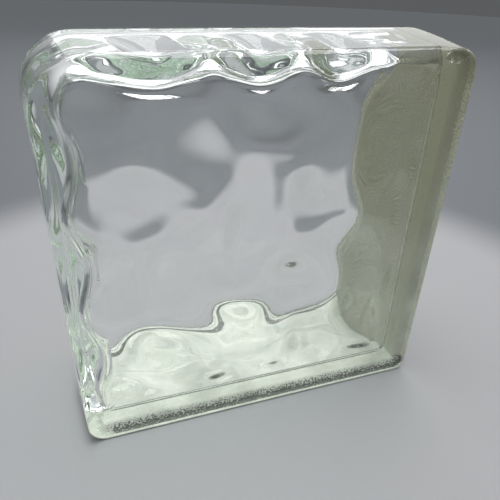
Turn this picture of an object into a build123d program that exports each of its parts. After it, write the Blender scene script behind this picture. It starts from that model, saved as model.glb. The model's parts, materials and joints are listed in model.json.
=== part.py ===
"""Hollow glass block with two finished sides and two coated mortar sides.

Two pressed shells are fused round the middle into one body of glass, with a
sealed space inside. Millimetres, Z up, front face at -Y, origin at the middle
of the base. The left and top sides are finished glass. The right and bottom
sides carry the mortar channel and its coating.
"""
import os
from math import cos, pi, radians, sin

from build123d import *

os.makedirs("parts", exist_ok=True)

# Overall size, coating included
width = 197.0
height = 197.0
depth = 79.0

# Corners of the block as seen from the front
top_left_radius = 24.0
top_right_radius = 11.0
bottom_left_radius = 9.5
bottom_right_radius = 5.5

# Glass
plate = 8.0
finished_wall = 9.0
mortar_wall = 7.8
finished_edge_radius = 5.0
finished_draft = 4.4
cavity_corner_radius = 6.0
cavity_edge_radius = 5.0
seam_bead_radius = 1.4

# Wave pressed into the inner face of each plate
wave_height = 1.9
wave_length = 38.0
wave_sway = 71.0
ripple_length = 46.0
ripple_sway = 83.0
front_wave_turn = radians(28)
rear_wave_turn = radians(-52)
wave_rim = 8.0
wave_fade = 10.0
wave_step = 4.0
wave_tolerance = 0.01

# Mortar sides
lip = 9.0
lip_band = 18.0
lip_edge_radius = 1.5
channel_depth = 5.5
channel_slope = 3.0
channel_floor_radius = 2.5
channel_end = 9.0
coating = 0.6
coating_setback = 2.0
coating_end = 6.0

# Where the glass stands under the coating, and the space inside it
overrun = 20.0
glass_left = -width / 2
glass_right = width / 2 - coating
glass_bottom = coating
glass_top = height
cavity_left = glass_left + finished_wall
cavity_right = glass_right - channel_depth - mortar_wall
cavity_bottom = glass_bottom + channel_depth + mortar_wall
cavity_top = glass_top - finished_wall
cavity_depth = depth - 2 * plate
cavity_draft = finished_draft * cavity_depth / depth


def upright_outline(left, right, bottom, top, radii):
    """Rectangle on the XZ plane, radii given from top left clockwise."""
    corners = ((left, top), (right, top), (right, bottom), (left, bottom))
    with BuildSketch(Plane.XZ) as outline:
        with Locations(((left + right) / 2, (bottom + top) / 2)):
            Rectangle(right - left, top - bottom)
        for corner, radius in zip(corners, radii):
            if radius:
                fillet(outline.vertices().sort_by_distance((*corner, 0))[0], radius)
    return outline.sketch


glass_box = (glass_left, glass_right, glass_bottom, glass_top)
glass_radii = (top_left_radius, top_right_radius, bottom_right_radius, bottom_left_radius)
coated_box = (glass_left, width / 2, 0, height)
coated_radii = (
    top_left_radius,
    top_right_radius,
    bottom_right_radius + coating,
    bottom_left_radius,
)
cavity_box = (cavity_left, cavity_right, cavity_bottom, cavity_top)
cavity_radii = (
    top_left_radius - finished_wall,
    cavity_corner_radius,
    cavity_corner_radius,
    cavity_corner_radius,
)


def slab(outline, thickness):
    """Outline made solid, half of its thickness on each side of the middle plane."""
    rear = outline.moved(Location((0, thickness / 2, 0)))
    return extrude(rear, amount=thickness, dir=(0, -1, 0), mode=Mode.PRIVATE)


def pressed_form(box, radii, draft, thickness, edge_radius):
    """Form of two pressed halves, whose left and top sides fall from the seam."""
    left, right, bottom, top = box
    reach = thickness / 2
    with BuildPart(mode=Mode.PRIVATE) as form:
        add(slab(upright_outline(*box, (0, 0, 0, 0)), thickness))
        split(bisect_by=Plane.XZ, keep=Keep.TOP)
        split(bisect_by=Plane((0, 0, top), z_dir=(0, -draft, reach)), keep=Keep.BOTTOM)
        split(bisect_by=Plane((left, 0, 0), z_dir=(-reach, -draft, 0)), keep=Keep.BOTTOM)
        fallen = draft / 2
        corners = (
            (left + fallen, top - fallen),
            (right, top - fallen),
            (right, bottom),
            (left + fallen, bottom),
        )
        for (x, z), radius in zip(corners, radii):
            fillet(form.edges().sort_by_distance((x, -reach / 2, z))[0], radius)
        fillet(form.faces().sort_by(Axis.Y)[0].edges(), edge_radius)
        mirror(about=Plane.XZ)
    return form.part


def mortar_channel(raised):
    """Space outside the mortar sides, its walls raised by the coating's thickness."""
    mouth = depth / 2 - lip
    floor = mouth - channel_slope
    right_end = Plane(
        (glass_right, 0, height - channel_end - raised), x_dir=(0, 1, 0), z_dir=(0, 0, -1)
    )
    bottom_end = Plane(
        (glass_left + channel_end + raised, 0, glass_bottom), x_dir=(0, -1, 0), z_dir=(1, 0, 0)
    )
    with BuildPart() as channel:
        for plane, run in ((right_end, height), (bottom_end, width)):
            with BuildPart(mode=Mode.PRIVATE) as one_side:
                with BuildSketch(plane):
                    with BuildLine():
                        Polyline(
                            (-mouth, overrun),
                            (-mouth, raised),
                            (-floor, raised - channel_depth),
                            (floor, raised - channel_depth),
                            (mouth, raised),
                            (mouth, overrun),
                            close=True,
                        )
                    make_face()
                extrude(amount=run)
                inward = Axis(plane.origin, -plane.y_dir)
                floor_edges = one_side.faces().sort_by(inward)[-1].edges()
                fillet(floor_edges, channel_floor_radius)
            add(one_side.part)
    return channel.part


def mortar_strips(end, thickness):
    """Upright and lying strips along the two mortar sides, from the finished ends."""
    with BuildSketch(Plane.XZ) as strips:
        with Locations((width / 2, 0)):
            Rectangle(lip_band, height - end, align=(Align.MAX, Align.MIN))
            Rectangle(width - end, lip_band, align=(Align.MAX, Align.MIN))
    return slab(strips.sketch, thickness)


def wave(x, z, turn):
    """Height of the pressed wave over the plate's mean inner face."""
    along = x * cos(turn) + z * sin(turn)
    across = z * cos(turn) - x * sin(turn)
    swell = sin(2 * pi * along / wave_length + 1.1 * sin(2 * pi * across / wave_sway))
    ripple = sin(2 * pi * across / ripple_length + 0.9 * sin(2 * pi * along / ripple_sway))
    return wave_height * (0.6 * swell + 0.4 * ripple)


def rise(distance):
    """Share of the full wave at a distance from the flat rim along a wall."""
    share = min(max(distance / wave_fade, 0), 1)
    return share * share * (3 - 2 * share)


def wavy_face(outward, turn):
    """Wavy part of one plate's inner face, level all round where it meets the rim."""
    left, right = cavity_left + cavity_draft + wave_rim, cavity_right - wave_rim
    bottom, top = cavity_bottom + wave_rim, cavity_top - cavity_draft - wave_rim
    columns = round((right - left) / wave_step)
    rows = round((top - bottom) / wave_step)
    points = []
    for row in range(rows + 1):
        z = bottom + (top - bottom) * row / rows
        points.append([])
        for column in range(columns + 1):
            x = left + (right - left) * column / columns
            share = rise(x - left) * rise(right - x) * rise(z - bottom) * rise(top - z)
            y = outward * (depth / 2 - plate - share * wave(x, z, turn))
            points[-1].append((x, y, z))
    return Face.make_surface_from_array_of_points(points, tol=wave_tolerance, min_deg=3)


def cavity():
    """Sealed space between the plates, with the fused seam standing up inside it."""
    with BuildPart() as space:
        add(pressed_form(cavity_box, cavity_radii, cavity_draft, cavity_depth, cavity_edge_radius))
        seam = upright_outline(*cavity_box, cavity_radii).faces()[0].outer_wire()
        with BuildSketch(Plane(seam @ 0, z_dir=seam % 0)):
            Circle(seam_bead_radius)
        sweep(path=seam, mode=Mode.SUBTRACT)
    faces = space.faces().sort_by(Axis.Y)
    skin = faces[1:-1]
    for rim, outward, turn in ((faces[0], -1, front_wave_turn), (faces[-1], 1, rear_wave_turn)):
        wavy = wavy_face(outward, turn)
        skin += [rim.make_holes([wavy.outer_wire()]), wavy]
    return Solid(Shell(skin))


def glass_blank():
    """Fused glass from outside, before the space inside it is taken out."""
    with BuildPart() as blank:
        add(pressed_form(glass_box, glass_radii, finished_draft, depth, lip_edge_radius))
        add(mortar_strips(0, depth), mode=Mode.INTERSECT)
        add(pressed_form(glass_box, glass_radii, finished_draft, depth, finished_edge_radius))
        add(mortar_channel(0), mode=Mode.SUBTRACT)
    return blank.part


with BuildPart() as glass_body:
    add(glass_blank())
    add(cavity(), mode=Mode.SUBTRACT)
glass_body.part.label = "glass_body"
export_step(glass_body.part, "parts/glass_body.step")

with BuildPart() as edge_coating:
    add(pressed_form(coated_box, coated_radii, finished_draft, depth, lip_edge_radius))
    add(mortar_strips(coating_end, depth - 2 * coating_setback), mode=Mode.INTERSECT)
    add(mortar_channel(coating), mode=Mode.SUBTRACT)
    add(glass_blank(), mode=Mode.SUBTRACT)
edge_coating.part.label = "edge_coating"
export_step(edge_coating.part, "parts/edge_coating.step")
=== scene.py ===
"""Looks of the hollow glass block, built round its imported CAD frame.

The block stands on its coated base. Its left and top sides are finished glass,
and its right side and base carry the mortar channel with a granular coating.
Sizes of the block are in millimetres, as in the CAD source, and are scaled to
metres where a mesh is made. Finishes, lights and floor are in metres.
"""

import json
import logging
import math
from dataclasses import dataclass, field, replace
from enum import Enum

import bpy
import numpy as np
from mathutils import Matrix, Vector

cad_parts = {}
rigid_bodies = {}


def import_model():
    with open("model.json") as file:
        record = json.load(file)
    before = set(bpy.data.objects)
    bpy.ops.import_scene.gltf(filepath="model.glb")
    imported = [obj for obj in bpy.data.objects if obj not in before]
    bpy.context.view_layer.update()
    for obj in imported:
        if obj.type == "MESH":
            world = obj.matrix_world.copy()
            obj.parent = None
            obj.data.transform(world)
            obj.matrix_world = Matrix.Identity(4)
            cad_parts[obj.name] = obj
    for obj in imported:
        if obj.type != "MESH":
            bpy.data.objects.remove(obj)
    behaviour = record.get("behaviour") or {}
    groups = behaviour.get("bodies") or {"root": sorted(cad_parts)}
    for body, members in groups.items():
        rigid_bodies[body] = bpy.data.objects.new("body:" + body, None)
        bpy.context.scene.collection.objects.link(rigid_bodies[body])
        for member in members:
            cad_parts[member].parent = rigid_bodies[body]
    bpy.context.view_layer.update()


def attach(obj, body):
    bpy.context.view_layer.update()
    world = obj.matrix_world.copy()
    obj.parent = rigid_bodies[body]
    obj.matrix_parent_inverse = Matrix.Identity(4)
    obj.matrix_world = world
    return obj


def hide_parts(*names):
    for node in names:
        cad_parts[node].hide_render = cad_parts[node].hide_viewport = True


MILLIMETRE = 0.001
DIAGONAL = 0.7071
log = logging.getLogger("glass_block")

Span = tuple[float, float]
Place = tuple[float, float, float]
Colour = tuple[float, float, float]
Socket = bpy.types.NodeSocket
Tree = bpy.types.ShaderNodeTree


class Side(Enum):
    """The two plates of the block, by the way each one's outer face looks."""

    FRONT = -1
    REAR = 1


def smooth_step(value: np.ndarray) -> np.ndarray:
    """Eases a value from 0 to 1, level at both ends."""
    share = np.clip(value, 0.0, 1.0)
    return share * share * (3.0 - 2.0 * share)


@dataclass(frozen=True)
class BlockSizes:
    """Driving sizes of the block in millimetres.

    They are those of the CAD source, apart from the crown of the finished sides
    and the coating's setback, which are finer here.
    """

    width: float = 197.0
    height: float = 197.0
    depth: float = 79.0
    top_left_radius: float = 24.0
    top_right_radius: float = 11.0
    bottom_left_radius: float = 9.5
    bottom_right_radius: float = 5.5
    plate: float = 8.0
    finished_wall: float = 9.0
    mortar_wall: float = 7.8
    finished_edge_radius: float = 5.0
    finished_draft: float = 4.4
    finished_crown: float = 1.3
    cavity_corner_radius: float = 6.0
    cavity_edge_radius: float = 5.0
    seam_bead: float = 1.4
    lip: float = 9.0
    lip_band: float = 18.0
    lip_edge_radius: float = 1.5
    channel_depth: float = 5.5
    channel_slope: float = 3.0
    channel_floor_radius: float = 2.5
    channel_end: float = 9.0
    coating: float = 0.6
    coating_setback: float = 0.5

    @property
    def left(self) -> float:
        """Left side of the glass."""
        return -self.width / 2

    @property
    def right(self) -> float:
        """Right side of the glass, under its coating."""
        return self.width / 2 - self.coating

    @property
    def bottom(self) -> float:
        """Underside of the glass, above its coating."""
        return self.coating

    @property
    def top(self) -> float:
        """Top of the glass."""
        return self.height

    @property
    def inner_reach(self) -> float:
        """Distance from the seam to the mean inner face of a plate."""
        return self.depth / 2 - self.plate

    def fall(self, from_seam: float) -> float:
        """How far the cavity's finished walls have fallen in at a distance from the seam."""
        return self.finished_draft * from_seam / (self.depth / 2)

    def crowned_fall(self, from_seam: np.ndarray | float) -> np.ndarray | float:
        """How far the outer finished sides, a little crowned, have fallen in there."""
        return self.finished_draft * (from_seam / (self.depth / 2)) ** self.finished_crown


@dataclass(frozen=True)
class Outline:
    """Rectangle with rounded corners on the XZ plane, sampled the same way at any size.

    Radii are given from the top left clockwise. Rings of two outlines with the
    same counts match sample by sample, so a surface can be drawn between them.
    """

    left: float
    right: float
    bottom: float
    top: float
    radii: tuple[float, float, float, float]
    straight: int = 72
    arc: int = 14

    def ring(self) -> tuple[np.ndarray, np.ndarray]:
        """Samples the outline clockwise from the top left corner.

        Returns:
            The points and the outward normals, each as rows of x and z.
        """
        top_left, top_right, bottom_right, bottom_left = self.radii
        corners = (
            (self.left + top_left, self.top - top_left, top_left, math.pi),
            (self.right - top_right, self.top - top_right, top_right, math.pi / 2),
            (self.right - bottom_right, self.bottom + bottom_right, bottom_right, 0.0),
            (self.left + bottom_left, self.bottom + bottom_left, bottom_left, -math.pi / 2),
        )
        points, normals = [], []
        for index, (x, z, radius, start) in enumerate(corners):
            angles = start - np.linspace(0.0, math.pi / 2, self.arc)
            outward = np.stack((np.cos(angles), np.sin(angles)), axis=1)
            arc = np.array((x, z)) + radius * outward
            points.append(arc)
            normals.append(outward)
            following = corners[(index + 1) % 4]
            begin = np.array((math.cos(following[3]), math.sin(following[3])))
            meet = np.array(following[:2]) + following[2] * begin
            steps = np.arange(1, self.straight)[:, None] / self.straight
            points.append(arc[-1] + (meet - arc[-1]) * steps)
            normals.append(np.repeat(outward[-1:], self.straight - 1, axis=0))
        return np.concatenate(points), np.concatenate(normals)

    def fallen(self, fall: float) -> "Outline":
        """Returns the outline with its left and top sides fallen in."""
        return replace(self, left=self.left + fall, top=self.top - fall)

    def lean(self) -> np.ndarray:
        """Shift of each sample where the left and top sides fall in by one millimetre."""
        return self.fallen(1.0).ring()[0] - self.ring()[0]

    def inset(self, amount: float, radii: tuple[float, ...]) -> "Outline":
        """Draws the outline in.

        Args:
            amount: How far each side moves in.
            radii: The new corners' radii.

        Returns:
            The outline drawn in on all sides.
        """
        return replace(
            self,
            left=self.left + amount,
            right=self.right - amount,
            bottom=self.bottom + amount,
            top=self.top - amount,
            radii=radii,
        )


@dataclass(frozen=True)
class PressedWave:
    """Wave pressed into the inner face of one plate, in millimetres.

    It dies out towards the mortar walls. Along the finished walls it turns into
    scallops, which draw the rounding between plate and wall in and out. Their
    crests are given by their distance along the finished walls, up the left
    one from the base and then to the right under the top. The scallops grow
    from scallop_start on. Past the middle between the last two crests, the
    rounding stays drawn out. How far a sample looks towards the finished corner
    says whether it lies on a finished wall, by facing_from and facing_span.
    """

    turn: float
    crests: tuple[float, ...]
    height: float = 1.9
    length: float = 38.0
    sway: float = 71.0
    sway_swing: float = 1.1
    swell_share: float = 0.6
    ripple_length: float = 46.0
    ripple_sway: float = 83.0
    ripple_swing: float = 0.9
    ripple_share: float = 0.4
    rim: float = 6.0
    fade: float = 10.0
    finished_share: float = 0.35
    scallop: float = 2.6
    scallop_start: float = 14.0
    scallop_growth: float = 24.0
    last_growth: float = 9.0
    facing_from: float = -0.2
    facing_span: float = 0.8

    def rise(self, x: np.ndarray, z: np.ndarray) -> np.ndarray:
        """Height of the wave over the plate's mean inner face.

        Args:
            x: Places across the block.
            z: Places up the block.

        Returns:
            The wave's height at each place, towards the inside of the block.
        """
        full_turn = 2 * math.pi
        along = x * math.cos(self.turn) + z * math.sin(self.turn)
        across = z * math.cos(self.turn) - x * math.sin(self.turn)
        swell = np.sin(
            full_turn * along / self.length
            + self.sway_swing * np.sin(full_turn * across / self.sway)
        )
        ripple = np.sin(
            full_turn * across / self.ripple_length
            + self.ripple_swing * np.sin(full_turn * along / self.ripple_sway)
        )
        return self.height * (self.swell_share * swell + self.ripple_share * ripple)

    def faded(self, x: np.ndarray, z: np.ndarray, walls: Outline) -> np.ndarray:
        """Height of the wave, dying out towards the walls of the cavity.

        Args:
            x: Places across the block.
            z: Places up the block.
            walls: Outline of the cavity.

        Returns:
            The wave's height at each place.
        """
        def share(distance: np.ndarray, least: float) -> np.ndarray:
            """Share of the wave that is left at a distance from a wall."""
            return least + (1.0 - least) * smooth_step((distance - self.rim) / self.fade)

        sides = share(x - walls.left, self.finished_share) * share(walls.right - x, 0.0)
        ends = share(z - walls.bottom, 0.0) * share(walls.top - z, self.finished_share)
        return sides * ends * self.rise(x, z)

    def scallops(self, walls: Outline) -> tuple[np.ndarray, np.ndarray]:
        """How far the rounding is drawn in at each sample of the cavity's outline.

        Args:
            walls: Outline of the cavity.

        Returns:
            The distance at each sample, as a column, and the share of the finished
            walls' crease there, as a row. Both are nothing at the mortar walls.
        """
        points, normals = walls.ring()
        steps = np.linalg.norm(np.diff(points, axis=0), axis=1)
        run = walls.top - walls.radii[0] + np.concatenate(([0.0], np.cumsum(steps)))
        on_left = normals[:, 0] < -0.999
        run = np.where(on_left, points[:, 1], run)
        ends = (2 * self.crests[0] - self.crests[1], 2 * self.crests[-1] - self.crests[-2])
        spots = (ends[0], *self.crests, ends[1])
        phase = np.interp(run, spots, np.arange(len(spots)))
        facing = normals @ np.array((-DIAGONAL, DIAGONAL))
        finished = smooth_step((facing - self.facing_from) / self.facing_span)
        finished = finished * smooth_step((run - self.scallop_start) / self.scallop_growth)
        past = run - (self.crests[-2] + self.crests[-1]) / 2
        held = -1.0 - smooth_step(past / self.last_growth)
        drawn = self.scallop * np.where(past > 0.0, held, np.cos(2 * math.pi * phase))
        crease = finished * smooth_step(1.0 - past / self.last_growth)
        return (finished * drawn)[:, None], crease


class RingMesh:
    """Mesh drawn as quads between rings of matching samples."""

    sharp_angle: float = 32.0

    def __init__(self) -> None:
        """Starts with no rings."""
        self.points: list[np.ndarray] = []
        self.faces: list[tuple[int, ...]] = []
        self.count = 0

    def _add_points(self, points: np.ndarray) -> int:
        """Adds points.

        Args:
            points: Rows of x, y and z.

        Returns:
            The number of the first one.
        """
        first = self.count
        self.points.append(points)
        self.count += len(points)
        return first

    def shell(self, rings: list[np.ndarray], inward: bool) -> None:
        """Adds one closed shell.

        Args:
            rings: Rings of x, y, z rows from the front to the rear of the block.
            inward: Whether the shell looks into itself, as a cavity does.
        """
        size = len(rings[0])
        starts = [self._add_points(ring) for ring in rings]
        for first, second in zip(starts, starts[1:]):
            for sample in range(size):
                following = (sample + 1) % size
                corners = (
                    first + sample,
                    first + following,
                    second + following,
                    second + sample,
                )
                self.faces.append(corners[::-1] if inward else corners)
        front = tuple(starts[0] + sample for sample in range(size))
        rear = tuple(starts[-1] + sample for sample in range(size))
        self.faces.append(front if inward else front[::-1])
        self.faces.append(rear[::-1] if inward else rear)

    def build(self, name: str) -> bpy.types.Object:
        """Makes the Blender object, in metres.

        Args:
            name: Name of the object and of its mesh.

        Returns:
            The object, linked to the scene.
        """
        mesh = bpy.data.meshes.new(name)
        points = np.concatenate(self.points) * MILLIMETRE
        mesh.from_pydata(points.tolist(), [], self.faces)
        mesh.validate()
        mesh.shade_smooth()
        mesh.set_sharp_from_angle(angle=math.radians(self.sharp_angle))
        made = bpy.data.objects.new(name, mesh)
        bpy.context.scene.collection.objects.link(made)
        return made


def rounded_path(corners: list[Span], radii: list[float], steps: int) -> np.ndarray:
    """Draws a path through corners, each rounded by a short curve.

    Args:
        corners: Corner points.
        radii: How far each inner corner's curve starts from the corner.
        steps: Number of points on each curve.

    Returns:
        Rows of the path's points.
    """
    spots = [np.array(corner) for corner in corners]
    path = [spots[0]]
    for before, corner, after, radius in zip(spots, spots[1:], spots[2:], radii):
        start = corner + (before - corner) / np.linalg.norm(before - corner) * radius
        end = corner + (after - corner) / np.linalg.norm(after - corner) * radius
        for share in np.linspace(0.0, 1.0, steps):
            left = 1 - share
            path.append(left**2 * start + 2 * share * left * corner + share**2 * end)
    path.append(spots[-1])
    return np.array(path)


def mapped(
    tree: Tree, source: Socket, low: float, high: float, least: float = 0.0, most: float = 1.0
) -> Socket:
    """Maps a value evenly from one range to another, and holds it past the ends.

    Args:
        tree: Where the node goes.
        source: The value.
        low: Value that gives the first result.
        high: Value that gives the second result.
        least: First result.
        most: Second result.

    Returns:
        The mapped value's socket.
    """
    node = tree.nodes.new("ShaderNodeMapRange")
    ends = (("From Min", low), ("From Max", high), ("To Min", least), ("To Max", most))
    for label, value in ends:
        node.inputs[label].default_value = value
    tree.links.new(source, node.inputs["Value"])
    return node.outputs["Result"]


def worked_out(tree: Tree, operation: str, *terms: Socket | float) -> Socket:
    """Does a sum with values and sockets.

    Args:
        tree: Where the node goes.
        operation: Name of the math node's operation.
        terms: Its inputs in order, each a value or a socket.

    Returns:
        The result's socket.
    """
    node = tree.nodes.new("ShaderNodeMath")
    node.operation = operation
    for place, term in zip(node.inputs, terms):
        if isinstance(term, Socket):
            tree.links.new(term, place)
        else:
            place.default_value = term
    return node.outputs["Value"]


def mixed(tree: Tree, factor: Socket, first: Socket | Colour, second: Colour) -> Socket:
    """Mixes two colours.

    Args:
        tree: Where the node goes.
        factor: Share of the second colour.
        first: Colour where the share is 0, as a value or a socket.
        second: Colour where the share is 1.

    Returns:
        The mixed colour's socket.
    """
    node = tree.nodes.new("ShaderNodeMix")
    node.data_type = "RGBA"
    tree.links.new(factor, node.inputs["Factor"])
    if isinstance(first, Socket):
        tree.links.new(first, node.inputs["A"])
    else:
        node.inputs["A"].default_value = (*first, 1.0)
    node.inputs["B"].default_value = (*second, 1.0)
    return node.outputs["Result"]


def raised_normal(tree: Tree, height: Socket, strength: float, distance: float) -> Socket:
    """Turns a height over the surface into a normal.

    Args:
        tree: Where the node goes.
        height: The height.
        strength: How strongly it tells.
        distance: How far in metres a height of 1 stands up.

    Returns:
        The normal's socket.
    """
    bump = tree.nodes.new("ShaderNodeBump")
    bump.inputs["Strength"].default_value = strength
    bump.inputs["Distance"].default_value = distance
    tree.links.new(height, bump.inputs["Height"])
    return bump.outputs["Normal"]


def new_group(
    name: str, inputs: dict[str, float], outputs: tuple[str, ...]
) -> tuple[Tree, bpy.types.Node, bpy.types.Node]:
    """Makes an empty shader node group that takes and gives plain values.

    Args:
        name: Name of the group.
        inputs: Each input's name and its usual value.
        outputs: Names of the outputs.

    Returns:
        The group with its input node and its output node.
    """
    tree = bpy.data.node_groups.new(name, "ShaderNodeTree")
    for label, value in inputs.items():
        socket = tree.interface.new_socket(label, in_out="INPUT", socket_type="NodeSocketFloat")
        socket.default_value = value
    for label in outputs:
        tree.interface.new_socket(label, in_out="OUTPUT", socket_type="NodeSocketFloat")
    return tree, tree.nodes.new("NodeGroupInput"), tree.nodes.new("NodeGroupOutput")


def placed_group(tree: Tree, group: Tree, values: dict[str, float]) -> bpy.types.Node:
    """Places a node group in a material.

    Args:
        tree: The material's nodes.
        group: The group.
        values: The material's own values for the group's inputs.

    Returns:
        The group's node.
    """
    node = tree.nodes.new("ShaderNodeGroup")
    node.node_tree = group
    for label, value in values.items():
        node.inputs[label].default_value = value
    return node


def new_material(name: str) -> tuple[bpy.types.Material, bpy.types.Node]:
    """Makes a material that holds only its output.

    Args:
        name: Name of the material.

    Returns:
        The material and its output node.
    """
    made = bpy.data.materials.new(name)
    made.use_nodes = True
    made.node_tree.nodes.clear()
    return made, made.node_tree.nodes.new("ShaderNodeOutputMaterial")


@dataclass(frozen=True)
class ScatteredGrain:
    """Fine grains and slow patches scattered over a surface.

    The scales are counts over a metre. A grain stands up by grain_height, from
    the first distance of grain_edge to the second.
    """

    scale: float = 900.0
    patch_scale: float = 40.0
    grain_edge: Span = (0.1, 0.55)
    grain_height: float = 0.6
    patch_detail: float = 5.0
    patch_roughness: float = 0.6
    fine_detail: float = 4.0

    def group(self) -> Tree:
        """Builds the group.

        Returns:
            A group with the inputs Scale and Patch Scale, and the outputs Patch, a
            slow mask of patches, and Height, of the single grains.
        """
        inputs = {"Scale": self.scale, "Patch Scale": self.patch_scale}
        tree, given, out = new_group("scattered_grain", inputs, ("Patch", "Height"))
        place = tree.nodes.new("ShaderNodeTexCoord")

        def texture(kind: str, scale: str) -> bpy.types.Node:
            """Adds a texture over the object.

            Args:
                kind: Type of the texture's node.
                scale: Name of the group's input that scales it.

            Returns:
                The texture's node.
            """
            node = tree.nodes.new(kind)
            tree.links.new(place.outputs["Object"], node.inputs["Vector"])
            tree.links.new(given.outputs[scale], node.inputs["Scale"])
            return node

        cells = texture("ShaderNodeTexVoronoi", "Scale")
        patch = texture("ShaderNodeTexNoise", "Patch Scale")
        patch.inputs["Detail"].default_value = self.patch_detail
        patch.inputs["Roughness"].default_value = self.patch_roughness
        fine = texture("ShaderNodeTexNoise", "Scale")
        fine.inputs["Detail"].default_value = self.fine_detail
        grain = mapped(tree, cells.outputs["Distance"], *self.grain_edge, 1.0, 0.0)
        height = worked_out(tree, "MULTIPLY_ADD", grain, self.grain_height, fine.outputs["Fac"])
        tree.links.new(patch.outputs["Fac"], out.inputs["Patch"])
        tree.links.new(height, out.inputs["Height"])
        return tree


@dataclass(frozen=True)
class CoatedZones:
    """Zones of the coating, told apart by the place on the block.

    Each span is in metres, and its mask goes from nothing at the first value to
    full at the second. Beside means the distance from the fused seam.
    """

    side_across: Span = (0.084, 0.092)
    side_up: Span = (0.004, 0.011)
    slope_inner_beside: Span = (0.0262, 0.0305)
    slope_outer_beside: Span = (0.0356, 0.0344)
    base_up: Span = (0.010, 0.007)
    base_across: Span = (-0.088, -0.080)
    lip_beside: Span = (0.0290, 0.0320)
    lip_up: Span = (0.188, 0.176)
    # The wall and band spans place the painted shade of the upright side, least low down and
    # full towards its top.
    wall_up: Span = (0.01, 0.115)
    wall_least: float = 0.45
    wall_beside: Span = (0.031, 0.027)
    band_up: Span = (0.08, 0.175)
    band_beside: Span = (0.027, 0.031)

    def group(self) -> Tree:
        """Builds the group.

        Returns:
            A group with the outputs Pitted, a mask of the worn slopes of the base
            channel near the floor, whose pits take painted contact shadow, Flecked, a
            mask of the upright lips, and Shade, a mask of painted shade on the upright
            side that deepens towards its top.
        """
        tree, _, out = new_group("coated_zones", {}, ("Pitted", "Flecked", "Shade"))
        place = tree.nodes.new("ShaderNodeTexCoord")
        split = tree.nodes.new("ShaderNodeSeparateXYZ")
        tree.links.new(place.outputs["Object"], split.inputs["Vector"])
        across, up = split.outputs["X"], split.outputs["Z"]
        beside = worked_out(tree, "ABSOLUTE", split.outputs["Y"])

        def both(first: Socket, second: Socket) -> Socket:
            """Mask of what two masks share."""
            return worked_out(tree, "MULTIPLY", first, second)

        side = both(mapped(tree, across, *self.side_across), mapped(tree, up, *self.side_up))
        slope = both(
            mapped(tree, beside, *self.slope_inner_beside),
            mapped(tree, beside, *self.slope_outer_beside),
        )
        # The low base next to the floor, where the pits carry painted contact shadow.
        base = both(mapped(tree, up, *self.base_up), mapped(tree, across, *self.base_across))
        lip = both(mapped(tree, beside, *self.lip_beside), mapped(tree, up, *self.lip_up))
        wall = both(
            mapped(tree, up, *self.wall_up, self.wall_least),
            mapped(tree, beside, *self.wall_beside),
        )
        band = both(mapped(tree, up, *self.band_up), mapped(tree, beside, *self.band_beside))
        tree.links.new(both(slope, base), out.inputs["Pitted"])
        tree.links.new(both(side, lip), out.inputs["Flecked"])
        # Painted shade on the upright side, deepening towards its top.
        shade = both(side, worked_out(tree, "ADD", wall, band))
        tree.links.new(shade, out.inputs["Shade"])
        return tree


@dataclass(frozen=True)
class ClearGlass:
    """Pressed clear glass, pale green in its depth and faintly uneven on its skin."""

    ior: float = 1.52
    tint: Colour = (0.915, 0.977, 0.945)
    density: float = 11.0
    shadow_tint: Colour = (0.95, 0.965, 0.955)
    patch_scale: float = 35.0
    hazy_patches: Span = (0.45, 0.8)
    haze: float = 0.03
    unevenness: float = 0.03
    uneven_height: float = 0.002

    def material(self, grain: Tree) -> bpy.types.Material:
        """Builds the material.

        Args:
            grain: Group that scatters grains over a surface.

        Returns:
            The glass material.
        """
        made, out = new_material("clear_glass")
        tree = made.node_tree
        nodes, links = tree.nodes, tree.links
        patch = placed_group(tree, grain, {"Patch Scale": self.patch_scale}).outputs["Patch"]
        glass = nodes.new("ShaderNodeBsdfPrincipled")
        glass.inputs["Base Color"].default_value = (1.0, 1.0, 1.0, 1.0)
        glass.inputs["Transmission Weight"].default_value = 1.0
        glass.inputs["IOR"].default_value = self.ior
        roughness = mapped(tree, patch, *self.hazy_patches, 0.0, self.haze)
        links.new(roughness, glass.inputs["Roughness"])
        normal = raised_normal(tree, patch, self.unevenness, self.uneven_height)
        links.new(normal, glass.inputs["Normal"])
        depth = nodes.new("ShaderNodeVolumeAbsorption")
        depth.inputs["Color"].default_value = (*self.tint, 1.0)
        depth.inputs["Density"].default_value = self.density
        clear = nodes.new("ShaderNodeBsdfTransparent")
        clear.inputs["Color"].default_value = (*self.shadow_tint, 1.0)
        rays = nodes.new("ShaderNodeLightPath").outputs
        unseen = worked_out(tree, "MAXIMUM", rays["Is Shadow Ray"], rays["Is Diffuse Ray"])
        mix = nodes.new("ShaderNodeMixShader")
        links.new(unseen, mix.inputs["Fac"])
        links.new(glass.outputs["BSDF"], mix.inputs[1])
        links.new(clear.outputs["BSDF"], mix.inputs[2])
        links.new(mix.outputs["Shader"], out.inputs["Surface"])
        links.new(depth.outputs["Volume"], out.inputs["Volume"])
        return made


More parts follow.
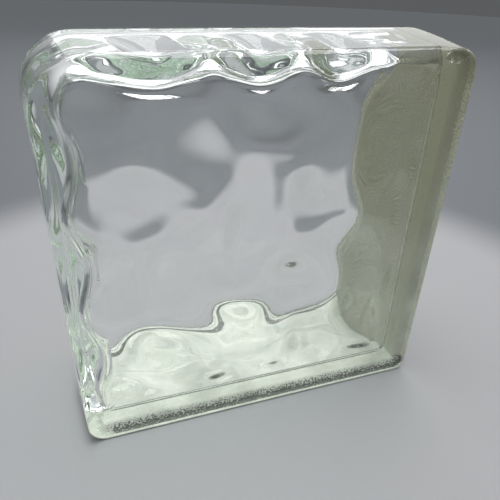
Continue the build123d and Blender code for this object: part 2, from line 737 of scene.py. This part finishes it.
@dataclass(frozen=True)
class GranularCoating:
    """Matt pale coating, pitted in the base channel and flecked on the upright lips.

    The upright side turns olive towards its top, which is painted shade, and the
    pits low in the base channel are near black, which is painted contact shadow.

    A weight is how much a zone's mask adds to the grains' height, and grains is
    the span over which that total turns into pits or flecks.
    """

    pale: Colour = (0.75, 0.76, 0.68)
    worn: Colour = (0.50, 0.52, 0.46)
    # Painted shade: the colour the upright side takes towards its top.
    shade_olive: Colour = (0.47, 0.45, 0.32)
    # Near black of the pits low in the base channel: the coating's real gaps, painted dark as
    # contact shadow.
    pit_shadow: Colour = (0.11, 0.12, 0.10)
    fleck: Colour = (0.74, 0.72, 0.54)
    grain_scale: float = 900.0
    patch_scale: float = 45.0
    patches: Span = (0.35, 0.65)
    grains: Span = (1.02, 1.16)
    pit_weight: float = 0.7
    fleck_weight: float = 0.5
    roughness: float = 0.9
    shine: float = 0.3
    relief: float = 0.8
    grain_height: float = 0.0004

    def material(self, grain: Tree, zones: Tree) -> bpy.types.Material:
        """Builds the material.

        Args:
            grain: Group that scatters grains over a surface.
            zones: Group that tells the coating's zones apart.

        Returns:
            The coating material.
        """
        made, out = new_material("granular_coating")
        tree = made.node_tree
        scales = {"Scale": self.grain_scale, "Patch Scale": self.patch_scale}
        scatter = placed_group(tree, grain, scales).outputs
        zone = placed_group(tree, zones, {}).outputs

        def scattered(mask: Socket, weight: float) -> Socket:
            """Breaks a zone up into grains, denser where its mask is stronger."""
            total = worked_out(tree, "MULTIPLY_ADD", mask, weight, scatter["Height"])
            return mapped(tree, total, *self.grains)

        tone = mapped(tree, scatter["Patch"], *self.patches)
        smooth = mixed(tree, tone, self.worn, self.pale)
        # Painted shade: olive over the upright side, deepening towards its top.
        shaded = mixed(tree, zone["Shade"], smooth, self.shade_olive)
        # Pits low in the base channel: real grain gaps, painted near black as contact shadow.
        pitted = mixed(tree, scattered(zone["Pitted"], self.pit_weight), shaded, self.pit_shadow)
        colour = mixed(tree, scattered(zone["Flecked"], self.fleck_weight), pitted, self.fleck)
        normal = raised_normal(tree, scatter["Height"], self.relief, self.grain_height)
        surface = tree.nodes.new("ShaderNodeBsdfPrincipled")
        surface.inputs["Roughness"].default_value = self.roughness
        surface.inputs["Specular IOR Level"].default_value = self.shine
        tree.links.new(colour, surface.inputs["Base Color"])
        tree.links.new(normal, surface.inputs["Normal"])
        tree.links.new(surface.outputs["BSDF"], out.inputs["Surface"])
        return made


@dataclass(frozen=True)
class PaleFloor:
    """Plain pale matt floor, its tone a little deeper far from the block: a painted pool of
    light round the block.
    """

    # Painted pool of light: paler near the block, darker far from it.
    near: Colour = (0.32, 0.32, 0.33)
    far: Colour = (0.12, 0.13, 0.14)
    near_reach: float = 0.25
    far_reach: float = 0.34
    grain_scale: float = 500.0
    roughness: float = 0.6
    relief: float = 0.05
    grain_height: float = 0.0005

    def material(self, grain: Tree) -> bpy.types.Material:
        """Builds the material.

        Args:
            grain: Group that scatters grains over a surface.

        Returns:
            The floor material.
        """
        made, out = new_material("pale_floor")
        tree = made.node_tree
        place = tree.nodes.new("ShaderNodeTexCoord")
        distance = tree.nodes.new("ShaderNodeVectorMath")
        distance.operation = "LENGTH"
        tree.links.new(place.outputs["Object"], distance.inputs[0])
        # Painted pool of light, fading with the distance from the block.
        share = mapped(tree, distance.outputs["Value"], self.near_reach, self.far_reach)
        share.node.interpolation_type = "SMOOTHSTEP"
        scatter = placed_group(tree, grain, {"Scale": self.grain_scale}).outputs
        normal = raised_normal(tree, scatter["Height"], self.relief, self.grain_height)
        surface = tree.nodes.new("ShaderNodeBsdfPrincipled")
        surface.inputs["Roughness"].default_value = self.roughness
        tree.links.new(mixed(tree, share, self.near, self.far), surface.inputs["Base Color"])
        tree.links.new(normal, surface.inputs["Normal"])
        tree.links.new(surface.outputs["BSDF"], out.inputs["Surface"])
        return made


@dataclass
class MortarSection:
    """Section across the block's sides, from the front face to the rear face.

    Left and top are finished glass, which falls from the seam to each face. The
    right side and the base carry the mortar channel, which ends short of the
    finished sides. The edge's rounding changes from a finished side's to a lip's
    over side_change and base_change, and the channel runs out over end_spread.
    """

    sizes: BlockSizes
    outer: Outline = field(init=False)
    floor: Outline = field(init=False)
    floor_corner: float = 1.0
    lip_corner: float = 0.7
    lip_start: float = 3.0
    curve_steps: int = 6
    floor_rings: int = 8
    side_change: float = 5.0
    base_change: float = 7.0
    end_spread: float = 3.0
    slight: float = 0.02

    def __post_init__(self) -> None:
        """Draws the outlines of the glass's side and of the channel's floor."""
        s = self.sizes
        radii = (
            s.top_left_radius,
            s.top_right_radius,
            s.bottom_right_radius,
            s.bottom_left_radius,
        )
        self.outer = Outline(s.left, s.right, s.bottom, s.top, radii)
        self.floor = Outline(
            s.left,
            s.right - s.channel_depth,
            s.bottom + s.channel_depth,
            s.top,
            (s.top_left_radius, s.top_right_radius, self.floor_corner, s.bottom_left_radius),
        )

    def drawn_in(self, depth: np.ndarray | float) -> np.ndarray:
        """Shift of the outline's samples at a depth under the face, as x and z rows."""
        fall = self.sizes.crowned_fall(self.sizes.depth / 2 - depth)
        return self.outer.lean() * np.broadcast_to(fall, (len(self.outer.ring()[0]),))[:, None]

    def edge_radius(self) -> np.ndarray:
        """Works out the rounding between side and face.

        Returns:
            The radius at each sample of the outline.
        """
        s = self.sizes
        points, _ = self.outer.ring()
        right = (points[:, 0] - (s.width / 2 - s.lip_band)) / self.side_change + 0.5
        low = (s.lip_band - points[:, 1]) / self.base_change + 0.5
        mortar = smooth_step(np.maximum(right, low))
        return s.finished_edge_radius + (s.lip_edge_radius - s.finished_edge_radius) * mortar

    def channel_share(self, points: np.ndarray) -> np.ndarray:
        """Share of the channel's depth at each sample.

        Args:
            points: The outline's samples at one depth, as x and z rows.

        Returns:
            The share at each sample, as a column.
        """
        s = self.sizes
        _, normals = self.outer.ring()
        end = s.channel_end + self.end_spread / 2
        on_right = (s.top - end - points[:, 1]) / self.end_spread + 0.5
        on_base = (points[:, 0] - s.left - end) / self.end_spread + 0.5
        towards_right = (normals[:, 0] > self.slight) & (points[:, 0] > 0)
        towards_base = (normals[:, 1] < -self.slight) & (points[:, 1] < s.height / 2)
        right = np.where(towards_right, smooth_step(on_right), 0.0)
        base = np.where(towards_base, smooth_step(on_base), 0.0)
        return np.maximum(right, base)[:, None]

    def side_rings(self, raised: np.ndarray | float) -> list[tuple[np.ndarray, float]]:
        """Draws the front half of the sides, from the lip to the seam.

        Args:
            raised: Height over the glass, one for all samples or a column of them.

        Returns:
            Each ring's x and z rows, and its depth under the face.
        """
        s = self.sizes
        points, normals = self.outer.ring()
        floor, _ = self.floor.ring()
        corners = [
            (s.lip - self.lip_start, 0.0),
            (s.lip, 0.0),
            (s.lip + s.channel_slope, s.channel_depth),
            (s.depth / 2, s.channel_depth),
        ]
        radii = [self.lip_corner, s.channel_floor_radius]
        path = rounded_path(corners, radii, self.curve_steps)
        floor_run = np.linspace(path[-2], path[-1], self.floor_rings)
        rings = []
        for depth, inset in np.concatenate((path[:-2], floor_run)):
            shift = self.drawn_in(depth)
            share = self.channel_share(points + shift) * inset / s.channel_depth
            rings.append((points + shift + (floor - points) * share + normals * raised, depth))
        return rings

    def front_and_rear(self, half: list[tuple[np.ndarray, float]]) -> list[np.ndarray]:
        """Puts half a side's rings in their places, and mirrors them past the seam.

        Args:
            half: Each ring's x and z rows and its depth, from the face to the seam.

        Returns:
            Rings of x, y, z rows from the front face to the rear face.
        """
        middle = self.sizes.depth / 2
        front = [at_depth(flat, depth - middle) for flat, depth in half]
        rear = [at_depth(flat, middle - depth) for flat, depth in half[-2::-1]]
        return front + rear


def at_depth(flat: np.ndarray, depth: np.ndarray | float) -> np.ndarray:
    """Puts rows of x and z at a depth along y."""
    level = np.broadcast_to(depth, (len(flat),))
    return np.stack((flat[:, 0], level, flat[:, 1]), axis=1)


@dataclass
class GlassBody:
    """The fused glass body: its pressed outer skin and the sealed space inside.

    The scallops die out over scallop_reach towards the middle of a plate. The
    plate gets thicker by lift for each millimetre that a scallop is drawn in, and
    by dish along the crease. The fused seam stands up as a bell of seam_width,
    made uneven by seam_ripples, each with its share, its count round the wall
    and its start.
    """

    sizes: BlockSizes
    section: MortarSection
    front_wave: PressedWave
    rear_wave: PressedWave
    edge_steps: int = 9
    plate_rings: int = 60
    middle_ring: float = 0.15
    scallop_reach: float = 3.6
    reach_rings: int = 6
    lift: float = 0.3
    dish: float = 0.6
    wall_rings: int = 8
    seam_reach: float = 2.6
    seam_rings: int = 15
    seam_width: float = 1.15
    seam_ripples: tuple[tuple[float, float, float], ...] = ((0.12, 7.0, 0.0), (0.08, 19.0, 1.0))

    def skin(self) -> list[np.ndarray]:
        """Draws the outer skin.

        Returns:
            Its rings, from the front face to the rear face.
        """
        points, normals = self.section.outer.ring()
        radius = self.section.edge_radius()
        half = []
        for angle in np.linspace(0.0, math.pi / 2, self.edge_steps):
            depth = radius * (1 - math.cos(angle))
            rounded = normals * (radius * (1 - math.sin(angle)))[:, None]
            half.append((points + self.section.drawn_in(depth) - rounded, depth))
        return self.section.front_and_rear(half + self.section.side_rings(0.0))

    def cavity_walls(self) -> Outline:
        """Draws the outline of the sealed space.

        Returns:
            The outline, along the inner faces of the walls.
        """
        s = self.sizes
        corner = s.cavity_corner_radius
        return Outline(
            s.left + s.finished_wall,
            s.right - s.channel_depth - s.mortar_wall,
            s.bottom + s.channel_depth + s.mortar_wall,
            s.top - s.finished_wall,
            (s.top_left_radius - s.finished_wall, corner, corner, corner),
        )

    def _plate_half(self, side: Side, wave: PressedWave) -> list[np.ndarray]:
        """Draws one plate's inner face and the rounding round it.

        Args:
            side: Which plate.
            wave: The wave pressed into it.

        Returns:
            Rings from the plate's middle to the walls.
        """
        s = self.sizes
        walls = self.cavity_walls()
        drawn, crease = wave.scallops(walls)
        thicker = self.lift * drawn[:, 0] + self.dish * crease
        _, normals = walls.ring()
        edge = s.cavity_edge_radius
        plate = walls.fallen(s.fall(s.inner_reach))
        half_width = (plate.right - plate.left) / 2
        rim_radii = tuple(radius - edge for radius in walls.radii)
        reach_edge = edge + self.scallop_reach

        def placed(flat: np.ndarray, share: float, drop: float) -> np.ndarray:
            """Puts a ring on the plate's wavy face.

            Args:
                flat: The ring's x and z rows.
                share: Share of the scallops there.
                drop: How far the ring lies behind the face, down the rounding.

            Returns:
                The ring's x, y, z rows.
            """
            rise = wave.faded(flat[:, 0], flat[:, 1], walls)
            level = s.inner_reach - rise - share * thicker - drop
            return at_depth(flat - normals * drawn * share, side.value * level)

        insets = np.concatenate(
            (
                np.linspace(half_width - self.middle_ring, reach_edge, self.plate_rings),
                np.linspace(reach_edge, edge, self.reach_rings)[1:-1],
            )
        )
        rings = []
        for inset in insets:
            reach = half_width - inset
            blend = (inset - edge) / (half_width - edge)
            radii = tuple(radius + (reach - radius) * blend for radius in rim_radii)
            flat, _ = plate.inset(inset, radii).ring()
            rings.append(placed(flat, max(0.0, 1 - (inset - edge) / self.scallop_reach), 0.0))
        for angle in np.linspace(0.0, math.pi / 2, self.edge_steps):
            inset = edge * (1 - math.sin(angle))
            drop = edge * (1 - math.cos(angle))
            radii = tuple(radius - inset for radius in walls.radii)
            flat, _ = walls.fallen(s.fall(s.inner_reach - drop)).inset(inset, radii).ring()
            rings.append(placed(flat, 1.0, drop))
        return rings

    def _wall(self, front: np.ndarray, rear: np.ndarray) -> list[np.ndarray]:
        """Draws the wall between the plates, with the fused seam standing up.

        Args:
            front: Last ring of the front plate.
            rear: Last ring of the rear plate.

        Returns:
            The rings between those two.
        """
        s = self.sizes
        walls = self.cavity_walls()
        flat, normals = walls.ring()
        run = np.arange(len(flat)) / len(flat) * 2 * math.pi
        uneven = np.ones(len(flat))
        for share, count, start in self.seam_ripples:
            uneven += share * np.sin(count * run + start)
        seam = []
        for depth in np.linspace(-self.seam_reach, self.seam_reach, self.seam_rings):
            stand = s.seam_bead * uneven * math.exp(-((depth / self.seam_width) ** 2))
            flat, _ = walls.fallen(s.fall(abs(depth))).ring()
            seam.append(at_depth(flat - normals * stand[:, None], depth))
        shares = np.linspace(0.0, 1.0, self.wall_rings)[1:-1]
        down = [front + (seam[0] - front) * share for share in shares]
        up = [seam[-1] + (rear - seam[-1]) * share for share in shares]
        return down + seam + up

    def cavity(self) -> list[np.ndarray]:
        """Draws the sealed space.

        Returns:
            Its rings, from the front plate to the rear plate.
        """
        front = self._plate_half(Side.FRONT, self.front_wave)
        rear = self._plate_half(Side.REAR, self.rear_wave)
        return front + self._wall(front[-1], rear[-1]) + rear[::-1]

    def build(self, material: bpy.types.Material) -> bpy.types.Object:
        """Makes the glass body.

        Args:
            material: The clear glass.

        Returns:
            The object that stands for the CAD body.
        """
        mesh = RingMesh()
        mesh.shell(self.skin(), inward=False)
        mesh.shell(self.cavity(), inward=True)
        made = mesh.build("pressed_glass")
        made.data.materials.append(material)
        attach(made, "root")
        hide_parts("glass_body")
        return made


@dataclass
class EdgeCoating:
    """The granular coating over the two mortar sides, sunk a hair into the glass.

    It covers the samples that look towards a mortar side by more than wrap, and
    reaches its full thickness where they do so by thinning more.
    """

    sizes: BlockSizes
    section: MortarSection
    sunk: float = 0.12
    wrap: float = 0.25
    thinning: float = 0.5
    thinnest: float = 0.08
    edge_depths: tuple[float, ...] = (0.8, 1.1)

    def _layer(self, thickness: float) -> list[np.ndarray]:
        """Draws the coated sides at a height over the glass.

        Args:
            thickness: The height. It thins out where the layer runs round the
                corners to the finished sides.

        Returns:
            Rings from the front to the rear.
        """
        s = self.sizes
        points, normals = self.section.outer.ring()
        facing = np.maximum(normals[:, 0], -normals[:, 1])
        share = np.clip((facing - self.wrap) / self.thinning, self.thinnest, 1.0)
        raised = (thickness * share)[:, None]
        radius = self.section.edge_radius()
        half = []
        for depth in (s.coating_setback, *self.edge_depths, s.lip_edge_radius, s.lip / 2):
            left = np.maximum(radius - depth, 0.0)
            inset = (radius - np.sqrt(radius**2 - left**2))[:, None]
            flat = points + self.section.drawn_in(depth) + normals * (raised - inset)
            half.append((flat, depth))
        return self.section.front_and_rear(half + self.section.side_rings(raised))

    def _coated(self) -> np.ndarray:
        """Numbers of the outline's samples that the coating covers, in order."""
        _, normals = self.section.outer.ring()
        return np.flatnonzero(np.maximum(normals[:, 0], -normals[:, 1]) > self.wrap)

    def build(self, material: bpy.types.Material) -> bpy.types.Object:
        """Makes the coating.

        Args:
            material: The granular coating.

        Returns:
            The object that stands for the CAD coating.
        """
        covered = self._coated()
        layers = zip(self._layer(self.sizes.coating), self._layer(-self.sunk))
        loops = [np.concatenate((over[covered], under[covered[::-1]])) for over, under in layers]
        mesh = RingMesh()
        mesh.shell(loops, inward=False)
        made = mesh.build("granular_coating")
        made.data.materials.append(material)
        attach(made, "root")
        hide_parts("edge_coating")
        return made


@dataclass(frozen=True)
class SoftPanel:
    """Soft rectangular light, its place and size in metres."""

    name: str
    spot: Place
    size: Span
    watts: float

    def hang(self, aim: Vector) -> None:
        """Hangs the light.

        Args:
            aim: Where it looks.
        """
        lamp = bpy.data.lights.new(self.name, "AREA")
        lamp.shape = "RECTANGLE"
        lamp.size, lamp.size_y = self.size
        lamp.energy = self.watts
        made = bpy.data.objects.new(self.name, lamp)
        made.location = self.spot
        made.rotation_mode = "QUATERNION"
        made.rotation_quaternion = (aim - Vector(self.spot)).to_track_quat("-Z", "Y")
        bpy.context.scene.collection.objects.link(made)


@dataclass
class Studio:
    """Plain pale floor, soft lights and the camera at the photograph's angle.

    A tone is a height on the surround, from 0 at eye level to 1 overhead, and the
    colour there.
    """

    floor_radius: float = 3.0
    floor_sides: int = 96
    floor_level: float = -0.00005
    aim: Place = (0.0, 0.0, 0.08)
    panels: tuple[SoftPanel, ...] = (
        SoftPanel("overhead", (0.15, 0.2, 1.1), (1.1, 0.8), 10.0),
        SoftPanel("rear_panel", (0.44, 1.22, 0.66), (1.7, 0.6), 2.9),
        SoftPanel("high_panel", (0.42, 1.02, 0.98), (0.7, 0.35), 1.1),
    )
    low_tone: tuple[float, Colour] = (0.02, (0.13, 0.135, 0.14))
    middle_tone: tuple[float, Colour] = (0.16, (0.34, 0.35, 0.36))
    high_tone: tuple[float, Colour] = (0.8, (0.95, 0.97, 0.99))
    surround_strength: float = 0.8
    light_bounces: int = 24
    sensor_width: float = 36.0
    focal_length: float = 35.52
    nearest: float = 0.01
    camera_spot: Place = (-0.07728, -0.22829, 0.22324)
    camera_right: Place = (0.94559, -0.32383, 0.03093)
    camera_down: Place = (-0.1389, -0.48784, -0.86184)

    def floor(self, material: bpy.types.Material) -> None:
        """Lays the round floor under the block.

        Args:
            material: The floor's finish.
        """
        turns = [2 * math.pi * index / self.floor_sides for index in range(self.floor_sides)]
        radius = self.floor_radius
        rim = [(radius * math.cos(turn), radius * math.sin(turn), 0.0) for turn in turns]
        mesh = bpy.data.meshes.new("floor")
        mesh.from_pydata(rim, [], [tuple(range(self.floor_sides))])
        made = bpy.data.objects.new("floor", mesh)
        made.location.z = self.floor_level
        made.data.materials.append(material)
        bpy.context.scene.collection.objects.link(made)

    def surround(self) -> None:
        """Sets a soft grey surround, brighter overhead."""
        world = bpy.data.worlds.new("soft_surround")
        world.use_nodes = True
        bpy.context.scene.world = world
        nodes, links = world.node_tree.nodes, world.node_tree.links
        nodes.clear()
        place = nodes.new("ShaderNodeTexCoord")
        split = nodes.new("ShaderNodeSeparateXYZ")
        links.new(place.outputs["Generated"], split.inputs["Vector"])
        ramp = nodes.new("ShaderNodeValToRGB")
        stops = ramp.color_ramp.elements
        for stop, (level, tone) in zip(stops, (self.low_tone, self.high_tone)):
            stop.position = level
            stop.color = (*tone, 1.0)
        level, tone = self.middle_tone
        stops.new(level).color = (*tone, 1.0)
        links.new(split.outputs["Z"], ramp.inputs["Fac"])
        back = nodes.new("ShaderNodeBackground")
        back.inputs["Strength"].default_value = self.surround_strength
        links.new(ramp.outputs["Color"], back.inputs["Color"])
        out = nodes.new("ShaderNodeOutputWorld")
        links.new(back.outputs["Background"], out.inputs["Surface"])

    def camera(self) -> None:
        """Sets the camera where the photograph was taken from."""
        lens = bpy.data.cameras.new("camera")
        lens.lens = self.focal_length
        lens.sensor_width = self.sensor_width
        lens.clip_start = self.nearest
        made = bpy.data.objects.new("camera", lens)
        right = Vector(self.camera_right).normalized()
        up = -Vector(self.camera_down)
        up = (up - right * up.dot(right)).normalized()
        turn = Matrix((right, up, right.cross(up))).transposed()
        made.matrix_world = Matrix.Translation(Vector(self.camera_spot)) @ turn.to_4x4()
        bpy.context.scene.collection.objects.link(made)
        bpy.context.scene.camera = made

    def set_up(self, grain: Tree) -> None:
        """Builds the whole studio.

        Args:
            grain: Group that scatters grains over a surface.
        """
        self.floor(PaleFloor().material(grain))
        self.surround()
        for panel in self.panels:
            panel.hang(Vector(self.aim))
        self.camera()
        scene = bpy.context.scene
        scene.view_settings.view_transform = "Standard"
        scene.cycles.glossy_bounces = self.light_bounces
        scene.cycles.transmission_bounces = self.light_bounces
        scene.cycles.max_bounces = self.light_bounces


def clear_scene() -> None:
    """Removes whatever the empty scene starts with."""
    for thing in list(bpy.data.objects):
        bpy.data.objects.remove(thing)


def main() -> None:
    """Builds the block and the studio in order, and reports each piece."""
    logging.basicConfig(level=logging.INFO, format="%(name)s: %(message)s")
    clear_scene()
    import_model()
    grain = ScatteredGrain().group()
    sizes = BlockSizes()
    section = MortarSection(sizes)
    front_wave = PressedWave(
        turn=math.radians(28), crests=(53.0, 104.0, 155.0, 222.0, 266.0, 303.0, 341.0)
    )
    rear_wave = PressedWave(
        turn=math.radians(-52), crests=(40.0, 84.0, 131.0, 170.0, 205.0, 243.0, 282.0, 322.0)
    )
    glass = GlassBody(sizes, section, front_wave, rear_wave)
    glass_piece = glass.build(ClearGlass().material(grain))
    coating = GranularCoating().material(grain, CoatedZones().group())
    coating_piece = EdgeCoating(sizes, section).build(coating)
    for made in (glass_piece, coating_piece):
        log.info("%s: %d faces", made.name, len(made.data.polygons))
    Studio().set_up(grain)
    log.info("studio set")


if __name__ == "__main__":
    main()
